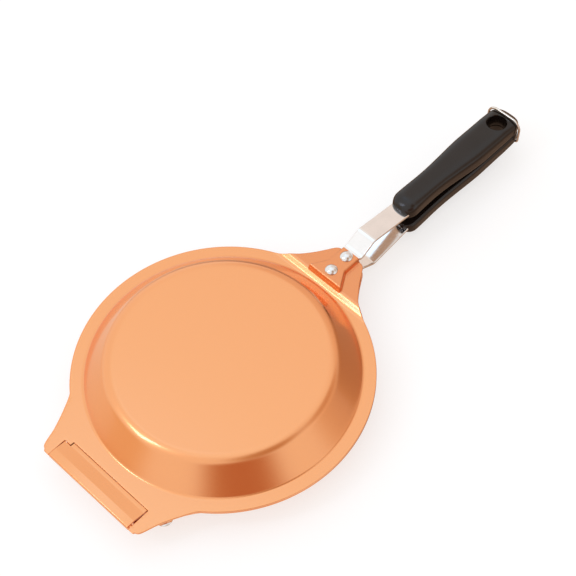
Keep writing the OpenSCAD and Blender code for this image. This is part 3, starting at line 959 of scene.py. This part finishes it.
def build_hinge_rivets():
    """Two domes under the leaf's wings, with their shanks up through the lower tab."""
    shell = Shell()
    for s in (-1, 1):
        v, f = lathe(dome_profile(LEAF_HEAD_R, LEAF_HEAD_H), 64)
        shell.add(placed_at(v, LEAF_RIVET[0], s * LEAF_RIVET[1], LEAF_TOP - SHEET, True), f)
        v, f = lathe([(0, 0), (2.0, 0), (2.2, 0.1), (2.2, SHEET), (0, SHEET)], 40)
        shell.add(placed_at(v, LEAF_RIVET[0], s * LEAF_RIVET[1], -HALF_GAP - SHEET), f)
    make_piece("hinge_rivet_heads", shell, True, CHROME, "lower", "rivet_steel", "hinge_rivets")


for is_upper in (True, False):
    build_strap_rivets(is_upper)
build_hinge_rivets()


# ---------------------------------------------------------------- straps
def path_surface(path, s):
    """A surface function: plan (u, y) goes to the point at length u of the path, at y."""
    d = np.gradient(path, s, axis=0)
    d /= np.linalg.norm(d, axis=1)[:, None]

    def surface(plan):
        u = plan[:, 0]
        x, h = np.interp(u, s, path[:, 0]), np.interp(u, s, path[:, 1])
        over, under = np.maximum(u - s[-1], 0), np.minimum(u - s[0], 0)
        dx, dh = np.interp(u, s, d[:, 0]), np.interp(u, s, d[:, 1])
        norm = np.hypot(dx, dh)
        dx, dh = dx / norm, dh / norm
        x = x + (over + under) * dx
        h = h + (over + under) * dh
        n = np.stack([-dh, np.zeros_like(u), dx], 1)
        return np.stack([x, plan[:, 1], h], 1), n
    return surface


def strap_path():
    """The strap's bent line (x, h), from under the platform over its crest to the tang in the grip."""
    bend, crest = LUG_REACH + 2.8, LUG_REACH + 16.2
    h = PLAT_UNDER - STRAP_SEAT
    pts = [(ROOT_X, h), (bend, h), (bend + 1.5, h + 0.35), (crest - 1.7, h + 6.0), (crest - 0.2, h + 6.5),
           (crest + 1.6, h + 6.4), (GRIP_X + 3, h + 1.3), (GRIP_X + 8, h + 0.7), (GRIP_X + 14, h + 0.45)]
    bent = filleted(pts, (3, 6, 3, 3.5, 4, 8, 8), 4)
    return np.array(straight([tuple(q) for q in bent], 0.9))


def build_strap(upper):
    """A flat band along its bent line, a little narrower where it lies under the platform."""
    path = strap_path()
    s = np.concatenate([[0], np.cumsum(np.linalg.norm(np.diff(path, axis=0), axis=1))])
    soft = STRAP_EDGE
    us = np.unique(np.round(np.concatenate([[soft], np.arange(soft + 0.4, 4, 0.4), s[s > 4][:-1],
                                            np.arange(24, 30, 0.25), [s[-1] - soft]]), 4))
    shoulder = SHOULDER_X - ROOT_X
    half = mix(TONGUE_HALF, STRAP_HALF, ease(step(shoulder - 0.2, shoulder + 1.4, us)))
    end = np.clip(3 - us, 0, 3)
    half = half - (3 - np.sqrt(9 - end ** 2)) - soft
    ts = np.array([-1, -0.97, -0.9, -0.75, -0.5, -0.2, 0.2, 0.5, 0.75, 0.9, 0.97, 1])
    pts = np.array([(u, w * t) for u, w in zip(us, half) for t in ts])
    cols = len(ts)
    faces = [(i * cols + k, (i + 1) * cols + k, (i + 1) * cols + k + 1, i * cols + k + 1)
             for i in range(len(us) - 1) for k in range(cols - 1)]
    shell = Shell()
    shell.add(*sheet_shell(pts, faces, path_surface(path, s), STRAP_T, soft))
    side = "upper" if upper else "lower"
    make_piece(side + "_strap_band", shell, upper, STRAP, side, "strap_steel", side + "_strap")


for is_upper in (True, False):
    build_strap(is_upper)


# ---------------------------------------------------------------- grips
def round_in(d, r):
    """How far an end with rounding r lies in at distance d from its tip."""
    return r - np.sqrt(np.maximum(0, r * r - (r - np.minimum(r, np.maximum(0, d))) ** 2))


def grip_side(x):
    """Half width of a grip along its length, without its rounded ends."""
    waist = np.cos(2 * np.pi * step(GRIP_X + 8, GRIP_X + 52, x))
    return mix(GRIP_FRONT, GRIP_BACK, ease(step(GRIP_X + 40, GRIP_X + 82, x))) + 0.25 * waist - 0.25


def grip_w(x):
    return grip_side(x) - round_in(x - GRIP_X, 9.5) * 0.88 - round_in(GRIP_END - x, 12)


def grip_top(x):
    return (mix(GRIP_H_FRONT, GRIP_H_BACK, step(GRIP_X + 8, GRIP_X + 100, x) ** 0.85)
            - round_in(x - GRIP_X, 11) * 0.72 - round_in(GRIP_END - x, 10) * 0.92
            - 1.5 * ease(step(GRIP_END - 24, GRIP_END - 8, x)))


def grip_in(x):
    return (mix(4.4, 0.5, ease(step(GRIP_X + 20, GRIP_X + 90, x)))
            + round_in(x - GRIP_X, 3) * 0.6 + round_in(GRIP_END - x, 3) * 0.2)


def build_grip(upper):
    """A half handle from one cross section to the next, with the hanging hole cut through it."""
    rows, ring_n = 110, 72
    xs = GRIP_X + (GRIP_END - GRIP_X) * (1 - np.cos(np.pi * np.arange(rows + 1) / rows)) / 2
    a = 2 * np.pi * (np.arange(ring_n) + 0.5) / ring_n
    c, s = np.cos(a), np.sin(a)
    verts, faces = [], []
    for x in xs:
        w, low, high = grip_w(x), grip_in(x), grip_top(x)
        power = np.where(s > 0, mix(2.3, 3.2, ease(step(GRIP_X, GRIP_X + 26, x))), 9)
        q = (np.abs(c) ** power + np.abs(s) ** power) ** (-1 / power)
        mid, tall = (low + high) / 2, (high - low) / 2
        verts += list(np.stack([np.full(ring_n, x), w * c * q, mid + tall * s * q], 1))
    for i in range(rows):
        for k in range(ring_n):
            j = (k + 1) % ring_n
            this, after = i * ring_n, (i + 1) * ring_n
            faces.append((this + k, this + j, after + j, after + k))
    faces += [tuple(reversed(range(ring_n))), tuple(range(rows * ring_n, (rows + 1) * ring_n))]
    shell = Shell().add(verts, faces)
    side = "upper" if upper else "lower"
    v, f = shell.placed(upper)
    obj = new_object(side + "_grip_moulding", v, f, PLASTIC)
    cut = Shell()
    profile = [(0, -2), (HANG_R, -2), (HANG_R, HANG_LIP - 0.8), (HANG_R + 0.25, HANG_LIP - 0.1),
               (HANG_R + 0.8, HANG_LIP + 0.55), (HANG_R + 4, HANG_LIP + 4), (0, HANG_LIP + 4)]
    cv, cf = lathe(profile, 96)
    cut.add(placed_at(cv, HANG_X, 0, 0), cf)
    v, f = cut.placed(upper)
    cut_away(obj, v, f)
    finish_piece(obj, side, "grip_plastic", side + "_grip")


for is_upper in (True, False):
    build_grip(is_upper)


# ---------------------------------------------------------------- wire lock
def build_bail():
    """The wire loop: a pin in each side of the lower grip, and a round over the upper grip's end."""
    up = np.array((BAIL_TOP[0] - PIVOT[0], BAIL_TOP[1] - PIVOT[1]))
    rise = np.linalg.norm(up)
    up /= rise
    corners = [(GRIP_BACK - BAIL_PIN, 0), (BAIL_HALF, 0), (BAIL_HALF, rise), (0, rise)]
    half = filleted(corners, (2.0, BAIL_CORNER), 6)
    half = straight([tuple(q) for q in half], 1.2)
    line = [np.array((-q[0], q[1])) for q in half][:-1] + list(reversed(half))
    path = [(PIVOT[0] + up[0] * q[1], q[0], PIVOT[1] + up[1] * q[1]) for q in line]
    shell = Shell().add(*tube(path, WIRE_R, 20))
    make_piece("lock_bail_wire", shell, True, WIRE, "bail", "wire_steel", "lock_bail")


build_bail()


# ---------------------------------------------------------------- stage, light and camera
# azimuth, elevation, inner and outer angle, colour of each part of the surroundings
SKY = (0.985, 0.98, 0.975, 1)
SKY_PARTS = [
    (80, 78, 5, 28, (1.03, 1.11, 1.20, 1)),
    (68, 65, 3, 9, (1.08, 1.30, 1.55, 1)),
    (14, 20, 14, 36, (0.84, 0.68, 0.58, 1)),
    (28, 36, 4, 21, (0.86, 0.74, 0.67, 1)),
    (-98, 54, 6, 26, (0.52, 0.32, 0.20, 1)),
    (-38, 36, 6, 26, (0.66, 0.46, 0.34, 1)),
    (-42, 2, 8, 30, (0.80, 0.64, 0.52, 1)),
    (-10, -2, 8, 30, (0.46, 0.28, 0.18, 1)),
    (-125, 16, 12, 32, (0.50, 0.22, 0.12, 1)),
    (150, 0, 10, 28, (0.86, 0.66, 0.46, 1)),
]
# painted reflection: the colours that the floor glows with where the metal reflects it
FLOOR_GLOW_PALE = (0.93, 0.80, 0.68, 1)
FLOOR_GLOW_DARK = (0.48, 0.30, 0.20, 1)


def direction(azimuth, elevation):
    """The unit vector towards an azimuth and elevation in degrees."""
    a, e = math.radians(azimuth), math.radians(elevation)
    return Vector((math.cos(a) * math.cos(e), math.sin(a) * math.cos(e), math.sin(e)))


def softbox(name, azimuth, elevation, distance, width, height, radiance, colour):
    """A rectangular light that faces the pan, as bright as the radiance from any distance."""
    data = bpy.data.lights.new(name, "AREA")
    data.shape = "RECTANGLE"
    data.size, data.size_y = width, height
    data.energy = radiance * math.pi * width * height
    data.color = colour
    obj = bpy.data.objects.new(name, data)
    back = direction(azimuth, elevation)
    obj.location = Vector((0.02, 0, 0.02)) + back * distance
    obj.rotation_euler = back.to_track_quat("Z", "Y").to_euler()
    COLLECTION.objects.link(obj)
    return obj


def build_floor():
    """White where the camera sees it. In the metal's reflections the floor glows, a painted reflection, pale
    warm and darker brown on one side.
    """
    m = bpy.data.materials.new("floor_white")
    m.use_nodes = True
    tree = m.node_tree
    tree.nodes.clear()
    out = tree.nodes.new("ShaderNodeOutputMaterial")
    matt = node(tree, "ShaderNodeBsdfDiffuse", Color=(0.85, 0.85, 0.85, 1))
    seen = node(tree, "ShaderNodeBsdfDiffuse", Color=(0.42, 0.42, 0.42, 1))
    glow = node(tree, "ShaderNodeEmission", Color=(1, 1, 1, 1), Strength=0.66)
    both = tree.nodes.new("ShaderNodeAddShader")
    tree.links.new(seen.outputs[0], both.inputs[0])
    tree.links.new(glow.outputs[0], both.inputs[1])
    place = node(tree, "ShaderNodeVectorMath", operation="NORMALIZE")
    tree.links.new(node(tree, "ShaderNodeTexCoord").outputs["Object"], place.inputs[0])
    side = node(tree, "ShaderNodeVectorMath", operation="DOT_PRODUCT")
    side.inputs[1].default_value = direction(-8, 0)
    tree.links.new(place.outputs[0], side.inputs[0])
    # painted reflection: the glow turns darker brown on the side towards azimuth -8 degrees
    warm = blend_colour(tree, ramp(tree, side.outputs["Value"], -0.1, 0.75, 0, 1), FLOOR_GLOW_PALE, FLOOR_GLOW_DARK)
    mirrored = node(tree, "ShaderNodeEmission", Strength=1.0)
    tree.links.new(warm, mirrored.inputs["Color"])
    path = tree.nodes.new("ShaderNodeLightPath")
    mirror = tree.nodes.new("ShaderNodeMixShader")
    tree.links.new(path.outputs["Is Glossy Ray"], mirror.inputs[0])
    tree.links.new(matt.outputs[0], mirror.inputs[1])
    tree.links.new(mirrored.outputs[0], mirror.inputs[2])
    pick = tree.nodes.new("ShaderNodeMixShader")
    tree.links.new(path.outputs["Is Camera Ray"], pick.inputs[0])
    tree.links.new(mirror.outputs[0], pick.inputs[1])
    tree.links.new(both.outputs[0], pick.inputs[2])
    tree.links.new(pick.outputs[0], out.inputs[0])
    size, level = 6000, -0.3
    corners = [(-size, -size, level), (size, -size, level), (size, size, level), (-size, size, level)]
    floor = new_object("floor", corners, [(0, 1, 2, 3)], m, False)


def build_world():
    """White to the camera. Around the object, an even light with softer and warmer parts."""
    world = bpy.data.worlds.new("studio")
    bpy.context.scene.world = world
    world.use_nodes = True
    tree = world.node_tree
    tree.nodes.clear()
    out = tree.nodes.new("ShaderNodeOutputWorld")
    coord = tree.nodes.new("ShaderNodeTexCoord")
    colour = SKY
    for azimuth, elevation, inner, outer, part in SKY_PARTS:
        near = node(tree, "ShaderNodeVectorMath", operation="DOT_PRODUCT")
        near.inputs[1].default_value = direction(azimuth, elevation)
        tree.links.new(coord.outputs["Generated"], near.inputs[0])
        share = node(tree, "ShaderNodeMapRange", interpolation_type="SMOOTHSTEP")
        share.inputs["From Min"].default_value = math.cos(math.radians(outer))
        share.inputs["From Max"].default_value = math.cos(math.radians(inner))
        tree.links.new(near.outputs["Value"], share.inputs["Value"])
        colour = blend_colour(tree, share.outputs[0], colour, part)
    light = node(tree, "ShaderNodeBackground", Strength=1.0)
    tree.links.new(colour, light.inputs["Color"])
    white = node(tree, "ShaderNodeBackground", Strength=1.0)
    white.inputs["Color"].default_value = (1, 1, 1, 1)
    pick = tree.nodes.new("ShaderNodeMixShader")
    path = tree.nodes.new("ShaderNodeLightPath")
    tree.links.new(path.outputs["Is Camera Ray"], pick.inputs[0])
    tree.links.new(light.outputs[0], pick.inputs[1])
    tree.links.new(white.outputs[0], pick.inputs[2])
    tree.links.new(pick.outputs[0], out.inputs[0])


CAMERA_AZIMUTH, CAMERA_ELEVATION, CAMERA_ROLL = -132.77, 56.20, -3.53
CAMERA_TARGET = Vector((0.07975, 0.01549, 0.02405))
CAMERA_DISTANCE = 1.1
CAMERA_LENS = 97.29


def build_camera():
    """The photograph's camera, fitted to the rim and to symmetric pairs of points."""
    data = bpy.data.cameras.new("camera")
    data.sensor_fit = "HORIZONTAL"
    data.sensor_width = 36
    data.lens = CAMERA_LENS
    data.clip_end = 50
    cam = bpy.data.objects.new("camera", data)
    azimuth, roll = math.radians(CAMERA_AZIMUTH), math.radians(CAMERA_ROLL)
    back = direction(CAMERA_AZIMUTH, CAMERA_ELEVATION)
    level = Vector((-math.sin(azimuth), math.cos(azimuth), 0))
    up = back.cross(level)
    right = math.cos(roll) * level + math.sin(roll) * up
    above = -math.sin(roll) * level + math.cos(roll) * up
    rotation = Matrix((right, above, back)).transposed()
    place = Matrix.Translation(CAMERA_TARGET + back * CAMERA_DISTANCE)
    cam.matrix_world = place @ rotation.to_4x4()
    COLLECTION.objects.link(cam)
    bpy.context.scene.camera = cam


build_floor()
build_world()
softbox("strip_box", 152, 50, 1.5, 0.13, 0.55, 5.2, (0.85, 1.0, 1.35))
softbox("spot_box", 143, 46, 1.5, 0.14, 0.16, 5.0, (1.0, 1.0, 1.1))
build_camera()
bpy.context.scene.view_settings.view_transform = "Standard"
